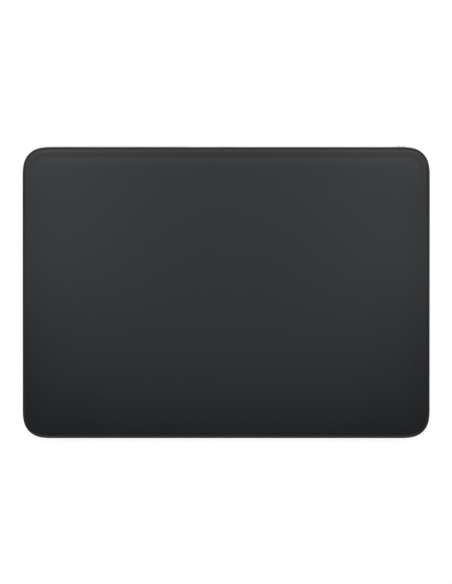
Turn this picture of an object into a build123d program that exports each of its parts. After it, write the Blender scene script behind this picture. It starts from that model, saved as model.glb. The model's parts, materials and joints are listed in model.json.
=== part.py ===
from build123d import *
import os
from math import asin, cos, radians, sin, tan

# A thin, wedge-shaped wireless trackpad that lies on a desk.
# The origin is the middle of its footprint on the desk: +X right, +Y to the rear, +Z up.

os.makedirs("parts", exist_ok=True)

# Whole body
pad_width = 160.0
glass_length = 114.5  # measured along the slope
front_height = 4.9  # desk to glass, at the front edge
rear_height = 10.9  # desk to glass, at the rear edge
foot_gap = 0.8  # desk to the flat underside
shoulder_radius = 18.0  # each corner eases in and out over this radius
shoulder_turn = 12.0  # degrees turned on each shoulder
corner_radius = 8.1  # the tight middle of each corner

# Clearances shared by many pieces
fit_gap = 0.03  # between a trim piece and its hole, each side
slide_gap = 0.1  # beside and behind a piece that slides
headroom = 0.3  # above the battery, to the sensor board
overrun = 1.0  # how far a cut runs past the face it opens

# Aluminium housing
wall = 1.6
floor_thickness = 1.0
bottom_round = 1.2
rim_break = 0.12  # small chamfer on the rim under the glass

# Glass and the layers glued under it
glass_thickness = 1.1
glass_edge_round = 0.5
glass_lower_break = 0.12
bond_thickness = 0.15
bond_width = 1.2
bond_inset = 0.2
film_thickness = 0.1
sensor_thickness = 0.6
sensor_inset = 2.3
touch_shield_width = 22.0
touch_shield_length = 14.0
touch_shield_height = 1.0
touch_shield_side_gap = 32.0  # side of the body to the middle of the shield
touch_shield_front_gap = 37.25  # front edge of the glass to the middle of the shield
shield_wall = 0.15
touch_chip_size = 4.0
touch_chip_height = 0.7
touch_chip_gap = 5.0

# Screws: one size holds the brackets, the flexures and the boards
screw_radius = 0.55
screw_head_radius = 1.05
screw_head_height = 0.4
screw_bite = 0.7  # thread in the metal
screw_recess_radius = 0.5
screw_recess_depth = 0.25
screw_hole_radius = 0.6

# Flat flexible circuits
flex_thickness = 0.12
flex_width = 2.6
flex_bend = 2.0  # bends in the flat
flex_fold = 0.3  # folds over an edge

# Feet
foot_side_inset = 16.0  # middle of a foot to the side of the body
foot_end_inset = 14.4  # middle of a foot to the front or rear of the footprint
foot_radius = 4.7
foot_ring_gap = 0.4
foot_round = 0.3
foot_sink = 0.2  # how far the pad reaches up into its hole
foot_plate_thickness = 0.5  # stays below the floor when the foot is pressed
foot_stub_radius = 1.6
flexure_length = 24.0
flexure_end_length = 5.0
flexure_end_width = 8.0
flexure_arm_width = 4.4
flexure_eye_radius = 3.0
flexure_thickness = 0.3
flexure_rise = 0.4  # floor to flexure
gauge_length = 3.0
gauge_width = 3.4
gauge_thickness = 0.08
gauge_tab_reach = 1.8
gauge_riser_gap = 0.4

# Details in the rear wall, their middle measured down the wall from the glass top
rear_detail_depth = 5.1
window_side_gap = 10.6  # side of the body to the window
window_middle_gap = 14.05  # middle of the charging port to the window
window_height = 5.6
window_lap = 0.6
window_flange = 0.6
antenna_board_margin = 4.7  # end of the window to the end of the board
antenna_board_height = 5.0
antenna_board_thickness = 0.6
coax_radius = 0.4
coax_end_gap = 3.25  # end of the antenna board to the middle of the lead
coax_run_gap = 2.4  # battery to the middle of the coaxial lead
coax_lift = 0.9  # board top to the middle of the lead
coax_bend = 3.0
coax_plug_radius = 1.2
coax_plug_height = 1.0
coax_jack_radius = 1.0
coax_jack_height = 0.4

# Charging port
port_hole_width = 7.56
port_hole_height = 2.41
port_opening_width = 6.9
port_opening_height = 1.75
port_mouth_break = 0.2
port_flange_lap = 0.5
port_flange = 0.5
port_shell_wall = 0.25
port_liner_wall = 0.2
port_shell_length = 6.5
port_back_wall = 1.0
port_contact_count = 8
port_contact_gap = 0.45
port_contact_width = 0.25
port_contact_thickness = 0.12
port_contact_length = 4.0
port_contact_start = 1.0
port_bracket_length = 4.0
port_bracket_offset = 1.2
port_flex_width = 5.0
port_flex_out = 1.5
bracket_plate = 0.4
bracket_ear = 3.0

# Power switch
switch_side_gap = 9.9  # side of the body to the slot
switch_width = 4.85
switch_slot_height = 2.3
knob_width = 2.35
knob_height = 1.8
knob_proud = 0.3
knob_edge_break = 0.08
switch_edge_break = 0.15
knob_face_sink = 0.1  # face between the ribs, below the wall
knob_rib_width = 0.5
knob_rib_gap = 1.05
switch_skin = 0.9  # wall left in front of the carrier
carrier_thickness = 0.7
carrier_height = 3.4
carrier_lap = 0.6  # past each end of the slot, at both ends of the travel
flag_thickness = 0.06
flag_height = 1.9
lever_width = 1.2
lever_height = 1.0
lever_sink = 0.5
module_width = 6.8
module_height = 2.8
module_thickness = 1.7
module_margin = 0.5
switch_ear_length = 5.0
switch_flex_out = 1.2
switch_flex_width = 2.0
switch_flex_gap = 0.1  # flat circuit to the hole of the foot

# Battery: it fills the room between the haptic motor, the feet, the port and the main board
battery_side_gap = 2.0  # left flexures to the cell
battery_rear_gap = 12.05  # cell to the inside of the rear wall, at the floor
battery_round = 0.9
tape_thickness = 0.15
tape_margin = 3.0
protection_width = 3.0
protection_length = 26.0
protection_thickness = 1.2

# Main board
board_gap = 2.0  # protection board to main board
board_width = 28.0
board_length = 28.0
board_side_gap = 21.0  # board to the side of the body
board_rear_gap = 3.0  # board to the rear flexures
board_thickness = 0.8
standoff_height = 0.8
standoff_radius = 1.8
socket_length = 5.0
socket_width = 2.4
socket_height = 0.6
socket_inset = 4.0  # board edge to socket middle
touch_socket_length = 7.0
touch_socket_height = 0.9
touch_flex_width = 6.0
touch_flex_run = 5.0
touch_flex_bend = 1.5
board_shield_margin = 6.0  # side of the board to the shield
board_shield_gap = 2.3  # sockets to the shield
board_shield_height = 1.4
board_chip_size = 4.5
board_chip_height = 0.9
board_chip_gap = 1.5

# Haptic motor
corridor = 4.4  # haptic motor to battery, where a flexible circuit crosses
haptic_front_inset = 31.8  # front of the footprint to the motor
haptic_headroom = 0.5  # cover to the sensor board
haptic_cover_width = 40.0
haptic_cover_length = 20.0
haptic_cover_wall = 0.2
haptic_ear_reach = 3.0  # base past the cover, each side
haptic_lip = 1.0  # base past the cover, front and rear
haptic_ear_inset = 1.6
coil_gap = 2.0
coil_margin = 0.5  # end of the mass to the end of the coils
coil_hole_width = 5.0
coil_hole_length = 7.0
coil_thickness = 0.5
mass_width = 28.0
mass_length = 15.0
mass_gap = 0.15
magnet_gap = 2.4
magnet_margin = 2.0  # end of the mass to the end of the magnets
magnet_backing = 0.4  # mass left above the magnets
spring_thickness = 0.15
spring_height = 0.9
spring_swing = 5.0  # middle line to the middle of each crossbar
spring_bend = 0.6

# The glass plane slopes down to the front; the walls stand square to it
tilt = asin((rear_height - front_height) / glass_length)
rear_lean = (rear_height - foot_gap - bottom_round) * tan(tilt)
deck_centre = Vector(0, -rear_lean / 2, (front_height + rear_height) / 2)
deck = Plane(origin=deck_centre, x_dir=(1, 0, 0), z_dir=(0, -sin(tilt), cos(tilt)))
deck_up = Axis(deck_centre, deck.z_dir)

# On this plane x is the row's x and y runs down the rear wall from the glass top
rear_face = Plane(
    origin=deck.from_local_coords((0, glass_length / 2, 0)), x_dir=(1, 0, 0), z_dir=deck.y_dir
)
rear_out = Axis(rear_face.origin, rear_face.z_dir)

# Depths below the glass top
film_depth = glass_thickness
sensor_depth = film_depth + film_thickness
sensor_bottom = sensor_depth + sensor_thickness
seat_depth = glass_thickness + bond_thickness

# Levels above the desk
floor_top = foot_gap + floor_thickness
ear_top = floor_top + bracket_plate
flexure_bottom = floor_top + flexure_rise
flexure_top = flexure_bottom + flexure_thickness
board_bottom = floor_top + standoff_height
board_top = board_bottom + board_thickness
socket_bottom = board_bottom - socket_height
battery_bottom = floor_top + tape_thickness


def wall_point(x, down, inward):
    # A point given by how far down the rear wall and how far into the body it lies
    return rear_face.from_local_coords((x, down, -inward))


def level_at(y, depth):
    # Height above the desk of a layer this far below the glass top
    return deck_centre.Z + (y - deck_centre.Y) * tan(tilt) - depth / cos(tilt)


# Plan positions
foot_x = pad_width / 2 - foot_side_inset
half_footprint = (glass_length * cos(tilt) + rear_lean) / 2
foot_y = half_footprint - foot_end_inset
foot_places = {
    "front_left": (-foot_x, -foot_y),
    "front_right": (foot_x, -foot_y),
    "rear_left": (-foot_x, foot_y),
    "rear_right": (foot_x, foot_y),
}
flexure_anchor = flexure_length / 2 - flexure_end_length / 2
gauge_offset = (flexure_eye_radius + flexure_length / 2 - flexure_end_length) / 2
flexure_ends = [
    (x + side * flexure_anchor, y) for x, y in foot_places.values() for side in (-1, 1)
]
floor_depth = (rear_height - floor_top) / cos(tilt)  # the floor, measured down the rear wall

haptic_width = haptic_cover_width + 2 * haptic_ear_reach
haptic_length = haptic_cover_length + 2 * haptic_lip
haptic_y = haptic_front_inset - half_footprint + haptic_length / 2
haptic_cover_height = (
    level_at(haptic_y - haptic_cover_length / 2, sensor_bottom) - haptic_headroom - ear_top
)

board_right = pad_width / 2 - board_side_gap
board_left = board_right - board_width
board_x = (board_left + board_right) / 2
board_rear = foot_y - flexure_end_width / 2 - board_rear_gap
board_front = board_rear - board_length
board_y = (board_front + board_rear) / 2
socket_front_y = board_front + socket_inset
socket_rear_y = board_rear - socket_inset

battery_left = flexure_length / 2 - foot_x + battery_side_gap
battery_right = board_left - board_gap - protection_width
battery_x = (battery_left + battery_right) / 2
battery_width = battery_right - battery_left
battery_front = haptic_y + haptic_length / 2 + corridor
battery_rear = wall_point(0, floor_depth, wall).Y - battery_rear_gap
battery_y = (battery_front + battery_rear) / 2
battery_length = battery_rear - battery_front
battery_thickness = level_at(battery_front, sensor_bottom) - headroom - battery_bottom
corridor_y = battery_front - corridor / 2

board_place_shares = {
    "force_left": -0.40,
    "haptic": -0.15,
    "force_right": 0.40,
    "port": -0.32,
    "switch": 0.18,
    "touch": 0.32,
}
socket_x = {name: board_x + share * board_width for name, share in board_place_shares.items()}
under_sockets = {
    "force_left": (socket_x["force_left"], socket_front_y),
    "haptic": (socket_x["haptic"], socket_front_y),
    "force_right": (socket_x["force_right"], socket_front_y),
    "port": (socket_x["port"], socket_rear_y),
    "switch": (socket_x["switch"], socket_rear_y),
    "battery": (socket_x["force_left"], board_y),
}
board_hole_shares = [(0.40, 0.36), (-0.41, -0.19), (0.10, -0.36)]
board_holes = [
    (board_x + across * board_width, board_y + along * board_length)
    for across, along in board_hole_shares
]

# Places along the rear wall
window_left = window_side_gap - pad_width / 2
window_x = (window_left - window_middle_gap) / 2
window_width = -window_middle_gap - window_left
antenna_board_width = window_width - 2 * antenna_board_margin
switch_right = pad_width / 2 - switch_side_gap
switch_left = switch_right - switch_width
switch_x = (switch_left + switch_right) / 2
switch_travel = switch_width - knob_width - 2 * slide_gap
knob_x = switch_x + switch_travel / 2
carrier_left = switch_left - carrier_lap
carrier_right = switch_right + carrier_lap + switch_travel
carrier_front = switch_skin + slide_gap
carrier_back = carrier_front + carrier_thickness
bracket_front = carrier_back + slide_gap
bracket_back = bracket_front + bracket_plate
module_back = bracket_back + module_thickness
port_start = wall + port_flange
port_shell_width = port_opening_width + 2 * (port_liner_wall + fit_gap + port_shell_wall)
port_shell_height = port_opening_height + 2 * (port_liner_wall + fit_gap + port_shell_wall)
port_back = port_start + port_shell_length + port_back_wall / 2

# Screw places on the floor, for the port bracket, the switch bracket and the haptic motor
port_bracket_middle = port_start + port_bracket_offset + port_bracket_length / 2
port_bracket_y = wall_point(0, floor_depth, port_bracket_middle).Y
port_leg_outside = port_shell_width / 2 + fit_gap + bracket_plate
port_ear_x = port_leg_outside + bracket_ear / 2 - fit_gap
switch_bracket_width = module_width + 2 * module_margin
switch_ear_x = switch_bracket_width / 2 - bracket_plate
switch_ear_start = (bracket_front + bracket_back) / 2
switch_ear_y = wall_point(0, floor_depth, switch_ear_start + switch_ear_length / 2).Y
switch_screw_y = wall_point(0, floor_depth, module_back + screw_head_radius + module_margin).Y
haptic_ear_x = haptic_width / 2 - haptic_ear_inset
haptic_ear_y = haptic_length / 2 - haptic_ear_inset
floor_screws = [
    (-port_ear_x, port_bracket_y),
    (port_ear_x, port_bracket_y),
    (switch_x - switch_ear_x, switch_screw_y),
    (switch_x + switch_ear_x, switch_screw_y),
    (-haptic_ear_x, haptic_y - haptic_ear_y),
    (haptic_ear_x, haptic_y - haptic_ear_y),
    (-haptic_ear_x, haptic_y + haptic_ear_y),
    (haptic_ear_x, haptic_y + haptic_ear_y),
]


def soft_rectangle(inset, mode=Mode.ADD):
    # The plan outline, drawn in by an inset: its corners ease in, turn tightly and ease out
    width = pad_width - 2 * inset
    length = glass_length - 2 * inset
    shoulder = shoulder_radius - inset
    corner = corner_radius - inset
    turn = radians(shoulder_turn)
    setback = shoulder * (1 + sin(turn) - cos(turn)) + corner * (cos(turn) - sin(turn))
    start = Vector(setback - width / 2, -length / 2)
    heading = Vector(1, 0)
    with BuildLine() as outline:
        for side in (width, length, width, length):
            run = Line(start, start + heading * (side - 2 * setback))
            easing = JernArc(run @ 1, run % 1, shoulder, shoulder_turn)
            turning = JernArc(easing @ 1, easing % 1, corner, 90 - 2 * shoulder_turn)
            leaving = JernArc(turning @ 1, turning % 1, shoulder, shoulder_turn)
            start = leaving @ 1
            heading = leaving % 1
    make_face(outline.edges(), mode=mode)


def flat_strip(points, width):
    # A flat circuit on the floor, following a bent path
    with BuildSketch(Plane.XY.offset(floor_top)) as strip:
        with BuildLine():
            FilletPolyline(*points, radius=flex_bend)
        trace(line_width=width)
    extrude(strip.sketch, amount=flex_thickness)


def straight_strip(start, end, width):
    # A straight run of flat circuit on the floor
    with BuildSketch(Plane.XY.offset(floor_top)) as strip:
        with BuildLine():
            Line(start, end)
        trace(line_width=width)
    extrude(strip.sketch, amount=flex_thickness)


def folded_strip(points, x, width, fold):
    # A flat circuit that folds up or down: points are places to the rear and heights
    with BuildSketch(Plane.YZ.offset(x)) as strip:
        with BuildLine():
            FilletPolyline(*points, radius=fold)
        trace(line_width=flex_thickness)
    extrude(strip.sketch, amount=width / 2, both=True)


def socket_tail(place):
    # The stiffened end that plugs up into a socket under the main board
    with BuildSketch(Plane.XY.offset(floor_top)) as tail:
        with Locations(place):
            Rectangle(socket_length, socket_width)
    extrude(tail.sketch, amount=socket_bottom - floor_top)


def screws_at(places, seat, grip):
    # Small screws standing on their seats: head, socket and shank
    with BuildSketch(Plane.XY.offset(seat)) as heads:
        with Locations(*places):
            Circle(screw_head_radius)
    extrude(heads.sketch, amount=screw_head_height)
    with BuildSketch(Plane.XY.offset(seat)) as shanks:
        with Locations(*places):
            Circle(screw_radius)
    extrude(shanks.sketch, amount=-(grip + screw_bite))
    with BuildSketch(Plane.XY.offset(seat + screw_head_height)) as recesses:
        with Locations(*places):
            RegularPolygon(screw_recess_radius, 6)
    extrude(recesses.sketch, amount=-screw_recess_depth, mode=Mode.SUBTRACT)


# Glass and the layers glued under it
with BuildPart() as touch_glass:
    with BuildSketch(deck):
        soft_rectangle(0)
    extrude(amount=-glass_thickness)
    fillet(touch_glass.faces().sort_by(deck_up)[-1].edges(), glass_edge_round)
    chamfer(touch_glass.faces().sort_by(deck_up)[0].edges(), glass_lower_break)

with BuildPart() as glass_bond_gasket:
    with BuildSketch(deck.offset(-glass_thickness)):
        soft_rectangle(bond_inset)
        soft_rectangle(bond_inset + bond_width, mode=Mode.SUBTRACT)
    extrude(amount=-bond_thickness)

with BuildPart() as sensor_bond_film:
    with BuildSketch(deck.offset(-film_depth)):
        soft_rectangle(sensor_inset)
    extrude(amount=-film_thickness)

with BuildPart() as touch_sensor_board:
    with BuildSketch(deck.offset(-sensor_depth)):
        soft_rectangle(sensor_inset)
    extrude(amount=-sensor_thickness)

touch_shield_x = touch_shield_side_gap - pad_width / 2
touch_shield_y = touch_shield_front_gap - glass_length / 2
with BuildPart() as touch_board_shield:
    with BuildSketch(deck.offset(-sensor_bottom)):
        with Locations((touch_shield_x, touch_shield_y)):
            Rectangle(touch_shield_width, touch_shield_length)
    extrude(amount=-touch_shield_height)
    with BuildSketch(deck.offset(-sensor_bottom)):
        with Locations((touch_shield_x, touch_shield_y)):
            Rectangle(touch_shield_width - 2 * shield_wall, touch_shield_length - 2 * shield_wall)
    extrude(amount=shield_wall - touch_shield_height, mode=Mode.SUBTRACT)

touch_chip_pitch = touch_chip_size + touch_chip_gap
with BuildPart() as touch_board_chips:
    with BuildSketch(deck.offset(-sensor_bottom)):
        with Locations((touch_shield_x, touch_shield_y)):
            with GridLocations(touch_chip_pitch, touch_chip_pitch, 2, 1):
                Rectangle(touch_chip_size, touch_chip_size)
        with Locations((touch_shield_x, touch_shield_y + touch_shield_length)):
            with GridLocations(touch_chip_pitch, touch_chip_pitch, 3, 1):
                Rectangle(touch_chip_size, touch_chip_size)
    extrude(amount=-touch_chip_height)

# The wide flexible circuit from the sensor board down to the main board
touch_socket_x = socket_x["touch"]
touch_plug_front = socket_front_y - socket_width / 2
touch_socket_rear = touch_plug_front - 3 * touch_flex_run
touch_flex_high = level_at(touch_socket_rear, sensor_bottom) - touch_socket_height / 2
touch_flex_low = board_top + touch_socket_height / 2

with BuildPart() as touch_flex_socket:
    with BuildSketch(deck.offset(-sensor_bottom)):
        socket_v = (touch_socket_rear - deck_centre.Y) / cos(tilt) - socket_width / 2
        with Locations((touch_socket_x, socket_v)):
            Rectangle(touch_socket_length, socket_width)
    extrude(amount=-touch_socket_height)

with BuildPart() as touch_flex:
    folded_strip(
        [
            (touch_socket_rear + flex_thickness, touch_flex_high),
            (touch_socket_rear + touch_flex_run, touch_flex_high),
            (touch_plug_front - touch_flex_run, touch_flex_low),
            (touch_plug_front, touch_flex_low),
        ],
        touch_socket_x,
        touch_flex_width,
        touch_flex_bend,
    )

# Aluminium housing
with BuildPart() as cavity:
    with BuildSketch(deck):
        soft_rectangle(wall)
    extrude(amount=-2 * rear_height)
    split(bisect_by=Plane.XY.offset(floor_top), keep=Keep.TOP)

with BuildPart() as port_pedestal:
    with BuildSketch(Plane.XY.offset(floor_top - floor_thickness / 2)):
        with Locations((0, port_bracket_y)):
            Rectangle(port_shell_width, port_bracket_length)
    extrude(amount=rear_height)
    split(
        bisect_by=deck.offset(-(rear_detail_depth + port_shell_height / 2)), keep=Keep.BOTTOM
    )

with BuildPart() as housing:
    with BuildSketch(deck.offset(-seat_depth)):
        soft_rectangle(0)
    extrude(amount=-2 * rear_height)
    split(bisect_by=Plane.XY.offset(foot_gap), keep=Keep.TOP)
    fillet(housing.faces().sort_by(Axis.Z)[0].edges(), bottom_round)
    chamfer(housing.faces().sort_by(deck_up)[-1].edges(), rim_break)
    add(cavity.part, mode=Mode.SUBTRACT)
    add(port_pedestal.part)
    with BuildSketch(Plane.XY.offset(floor_top)):
        with Locations(*flexure_ends):
            Rectangle(flexure_end_length, flexure_end_width)
    extrude(amount=flexure_rise)
    with BuildSketch(Plane.XY.offset(floor_top)):
        with Locations(*board_holes):
            Circle(standoff_radius)
    extrude(amount=standoff_height)
    with BuildSketch(Plane.XY.offset(floor_top)):
        with Locations(*foot_places.values()):
            Circle(foot_radius + foot_ring_gap)
    extrude(amount=-(floor_thickness + overrun), mode=Mode.SUBTRACT)
    with BuildSketch(Plane.XY.offset(flexure_bottom)):
        with Locations(*flexure_ends):
            Circle(screw_hole_radius)
    extrude(amount=-screw_bite - slide_gap, mode=Mode.SUBTRACT)
    with BuildSketch(Plane.XY.offset(floor_top)):
        with Locations(*floor_screws):
            Circle(screw_hole_radius)
    extrude(amount=-screw_bite - slide_gap, mode=Mode.SUBTRACT)
    with BuildSketch(Plane.XY.offset(board_bottom)):
        with Locations(*board_holes):
            Circle(screw_hole_radius)
    extrude(amount=-screw_bite - slide_gap, mode=Mode.SUBTRACT)
    with BuildSketch(rear_face.offset(overrun)):
        with Locations((window_x, rear_detail_depth)):
            SlotOverall(window_width, window_height)
        with Locations((0, rear_detail_depth)):
            SlotOverall(port_hole_width, port_hole_height)
        with Locations((switch_x, rear_detail_depth)):
            RectangleRounded(switch_width, switch_slot_height, switch_slot_height / 4)
    extrude(amount=-(wall + 1.5 * overrun), mode=Mode.SUBTRACT)
    with BuildSketch(rear_face.offset(-switch_skin)):
        with Locations(((carrier_left - switch_travel + carrier_right) / 2, rear_detail_depth)):
            Rectangle(
                carrier_right - carrier_left + switch_travel + 2 * slide_gap,
                carrier_height + 2 * slide_gap,
            )
    extrude(amount=-(wall - switch_skin + overrun), mode=Mode.SUBTRACT)
    wall_face = housing.faces().filter_by(rear_face).sort_by(rear_out)[-1]
    switch_mouth = wall_face.inner_wires().sort_by(Axis.X)[-1]
    chamfer(switch_mouth.edges(), switch_edge_break)

# Antenna
with BuildPart() as antenna_window:
    with BuildSketch(rear_face):
        with Locations((window_x, rear_detail_depth)):
            SlotOverall(window_width - 2 * fit_gap, window_height - 2 * fit_gap)
    extrude(amount=-wall)
    with BuildSketch(rear_face.offset(-wall)):
        with Locations((window_x, rear_detail_depth)):
            SlotOverall(window_width + 2 * window_lap, window_height + 2 * window_lap)
    extrude(amount=-window_flange)

with BuildPart() as antenna_board:
    with BuildSketch(rear_face.offset(-(wall + window_flange))):
        with Locations((window_x, rear_detail_depth)):
            Rectangle(antenna_board_width, antenna_board_height)
    extrude(amount=-antenna_board_thickness)

coax_level = board_top + coax_lift
coax_rear = wall_point(
    0, (rear_height - coax_level) / cos(tilt), wall + window_flange + antenna_board_thickness
).Y
coax_start_x = window_x + antenna_board_width / 2 - coax_end_gap
coax_turn_y = battery_rear + coax_run_gap
coax_jack = under_sockets["port"]
with BuildPart() as antenna_coax:
    with BuildLine(Plane.XY.offset(coax_level)) as coax_path:
        FilletPolyline(
            (coax_start_x, coax_rear),
            (coax_start_x, coax_turn_y),
            (coax_jack[0], coax_turn_y),
            coax_jack,
            radius=coax_bend,
        )
    with BuildSketch(Plane(origin=coax_path.line @ 0, z_dir=coax_path.line % 0)):
        Circle(coax_radius)
    sweep()
    with BuildSketch(Plane.XY.offset(board_top + coax_jack_height)):
        with Locations(coax_jack):
            Circle(coax_plug_radius)
    extrude(amount=coax_plug_height)

# Feet: rubber pad, steel plate, and the flexure that feels the press
foot_pads = {}
foot_plates = {}
foot_flexures = {}
pad_thickness = foot_gap + foot_sink
for place, centre in foot_places.items():
    with BuildPart() as foot_pad:
        with BuildSketch():
            with Locations(centre):
                Circle(foot_radius)
        extrude(amount=pad_thickness)
        fillet(foot_pad.faces().sort_by(Axis.Z)[0].edges(), foot_round)
    foot_pads[place] = foot_pad
    with BuildPart() as foot_plate:
        with BuildSketch(Plane.XY.offset(pad_thickness)):
            with Locations(centre):
                Circle(foot_radius)
        extrude(amount=foot_plate_thickness)
        with BuildSketch(Plane.XY.offset(pad_thickness)):
            with Locations(centre):
                Circle(foot_stub_radius)
        extrude(amount=flexure_bottom - pad_thickness)
    foot_plates[place] = foot_plate
    with BuildPart() as foot_flexure:
        with BuildSketch(Plane.XY.offset(flexure_bottom)):
            with Locations(centre):
                Rectangle(flexure_length, flexure_arm_width)
                Circle(flexure_eye_radius)
                with GridLocations(2 * flexure_anchor, 0, 2, 1):
                    Rectangle(flexure_end_length, flexure_end_width)
                    Circle(screw_hole_radius, mode=Mode.SUBTRACT)
        extrude(amount=flexure_thickness)
    foot_flexures[place] = foot_flexure

with BuildPart() as flexure_screws:
    screws_at(flexure_ends, flexure_top, flexure_thickness)

with BuildPart() as strain_gauges:
    with BuildSketch(Plane.XY.offset(flexure_top)):
        with Locations(*foot_places.values()):
            with GridLocations(2 * gauge_offset, 0, 2, 1):
                Rectangle(gauge_length, gauge_width)
    extrude(amount=gauge_thickness)

# The circuits that join the gauges on each side to the main board
tab_x = foot_x + flexure_anchor
tab_edge = foot_y - flexure_end_width / 2
strip_end = tab_edge - gauge_riser_gap - flex_fold
strip_low = floor_top + flex_thickness / 2
strip_high = flexure_top + flex_thickness / 2
force_flexes = {}
for side_name, side in (("left", -1), ("right", 1)):
    with BuildPart() as force_flex:
        straight_strip((side * tab_x, -strip_end), (side * tab_x, strip_end), flex_width)
        for end in (-1, 1):
            folded_strip(
                [
                    (end * (strip_end - gauge_riser_gap), strip_low),
                    (end * (tab_edge - gauge_riser_gap), strip_low),
                    (end * (tab_edge - gauge_riser_gap), strip_high),
                    (end * (tab_edge + gauge_tab_reach), strip_high),
                ],
                side * tab_x,
                flex_width,
                (flex_fold + flex_thickness) / 2,
            )
        tail = under_sockets["force_" + side_name]
        if side < 0:
            flat_strip([(side * tab_x, corridor_y), (tail[0], corridor_y), tail], flex_width)
        else:
            straight_strip((side * tab_x, tail[1]), tail, flex_width)
        socket_tail(tail)
    force_flexes[side_name] = force_flex

# Charging port
with BuildPart() as port_trim_ring:
    with BuildSketch(rear_face):
        with Locations((0, rear_detail_depth)):
            SlotOverall(port_hole_width - 2 * fit_gap, port_hole_height - 2 * fit_gap)
    extrude(amount=-wall)
    with BuildSketch(rear_face.offset(-wall)):
        with Locations((0, rear_detail_depth)):
            SlotOverall(port_hole_width + 2 * port_flange_lap, port_hole_height + 2 * port_flange_lap)
    extrude(amount=-port_flange)
    with BuildSketch(rear_face.offset(overrun)):
        with Locations((0, rear_detail_depth)):
            SlotOverall(port_opening_width, port_opening_height)
    extrude(amount=-(port_start + 2 * overrun), mode=Mode.SUBTRACT)
    mouth = port_trim_ring.faces().sort_by(rear_out)[-1]
    chamfer(mouth.inner_wires()[0].edges(), port_mouth_break)

liner_width = port_opening_width + 2 * port_liner_wall
liner_height = port_opening_height + 2 * port_liner_wall
with BuildPart() as port_shell:
    with BuildSketch(rear_face.offset(-port_start)):
        with Locations((0, rear_detail_depth)):
            SlotOverall(port_shell_width, port_shell_height)
            SlotOverall(liner_width + 2 * fit_gap, liner_height + 2 * fit_gap, mode=Mode.SUBTRACT)
    extrude(amount=-port_shell_length)

with BuildPart() as port_insulator:
    with BuildSketch(rear_face.offset(-port_start)):
        with Locations((0, rear_detail_depth)):
            SlotOverall(liner_width, liner_height)
    extrude(amount=-(port_back - port_start))
    with BuildSketch(rear_face.offset(-port_start)):
        with Locations((0, rear_detail_depth)):
            SlotOverall(port_opening_width, port_opening_height)
    extrude(amount=-(port_back - port_start - port_back_wall), mode=Mode.SUBTRACT)

with BuildPart() as port_contacts:
    with BuildSketch(rear_face.offset(-(port_start + port_contact_start))):
        with Locations((0, rear_detail_depth + port_opening_height / 2 - port_contact_thickness / 2)):
            with GridLocations(port_contact_width + port_contact_gap, 0, port_contact_count, 1):
                Rectangle(port_contact_width, port_contact_thickness)
    extrude(amount=-port_contact_length)

strap_top = rear_detail_depth - port_shell_height / 2
with BuildPart() as port_bracket:
    with BuildSketch(rear_face.offset(-(port_start + port_bracket_offset))):
        with Locations((0, strap_top - bracket_plate)):
            Rectangle(2 * port_leg_outside, rear_height, align=(Align.CENTER, Align.MIN))
        with Locations((0, strap_top)):
            Rectangle(
                2 * (port_leg_outside - bracket_plate),
                rear_height,
                align=(Align.CENTER, Align.MIN),
                mode=Mode.SUBTRACT,
            )
    extrude(amount=-port_bracket_length)
    split(bisect_by=Plane.XY.offset(floor_top), keep=Keep.TOP)
    with BuildSketch(Plane.XY.offset(floor_top)):
        with Locations((-port_ear_x, port_bracket_y), (port_ear_x, port_bracket_y)):
            Rectangle(bracket_ear, port_bracket_length)
    extrude(amount=bracket_plate)
    with BuildSketch(Plane.XY.offset(floor_top)):
        with Locations((-port_ear_x, port_bracket_y), (port_ear_x, port_bracket_y)):
            Circle(screw_hole_radius)
    extrude(amount=bracket_plate, mode=Mode.SUBTRACT)

port_tail = under_sockets["port"]
port_middle = wall_point(0, rear_detail_depth, port_back)
port_drop_y = port_middle.Y - port_flex_out
with BuildPart() as port_flex:
    folded_strip(
        [
            (port_middle.Y, port_middle.Z),
            (port_drop_y, port_middle.Z),
            (port_drop_y, strip_low),
            (port_drop_y - flex_width, strip_low),
        ],
        0,
        port_flex_width,
        flex_fold,
    )
    flat_strip(
        [(0, port_drop_y - flex_width / 2), (port_tail[0], port_drop_y - flex_width / 2), port_tail],
        flex_width,
    )
    socket_tail(port_tail)

# Power switch: knob and carrier slide together, and the lever in the module follows them
with BuildPart() as switch_knob:
    with BuildSketch(rear_face.offset(-carrier_front)):
        with Locations((knob_x, rear_detail_depth)):
            RectangleRounded(knob_width, knob_height, knob_height / 4)
    extrude(amount=carrier_front + knob_proud)
    with BuildSketch(rear_face.offset(knob_proud)):
        with Locations((knob_x, rear_detail_depth)):
            Rectangle(knob_width + overrun, knob_height + overrun)
            with GridLocations(knob_rib_gap + knob_rib_width, 0, 2, 1):
                Rectangle(knob_rib_width, knob_height + 2 * overrun, mode=Mode.SUBTRACT)
    extrude(amount=-(knob_proud + knob_face_sink), mode=Mode.SUBTRACT)
    tops = switch_knob.faces().filter_by(rear_face).group_by(rear_out)[-1]
    chamfer(tops.edges(), knob_edge_break)

with BuildPart() as switch_carrier:
    with BuildSketch(rear_face.offset(-carrier_front)):
        with Locations(((carrier_left + carrier_right) / 2, rear_detail_depth)):
            Rectangle(carrier_right - carrier_left, carrier_height)
    extrude(amount=-carrier_thickness)

with BuildPart() as on_flag:
    with BuildSketch(rear_face.offset(-carrier_front)):
        with Locations((knob_x + knob_width / 2 + slide_gap, rear_detail_depth)):
            Rectangle(switch_travel, flag_height, align=(Align.MIN, Align.CENTER))
    extrude(amount=flag_thickness)

with BuildPart() as switch_module_lever:
    with BuildSketch(rear_face.offset(-carrier_back)):
        with Locations((knob_x, rear_detail_depth)):
            Rectangle(lever_width, lever_height)
    extrude(amount=-(bracket_back - carrier_back + lever_sink))

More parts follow.
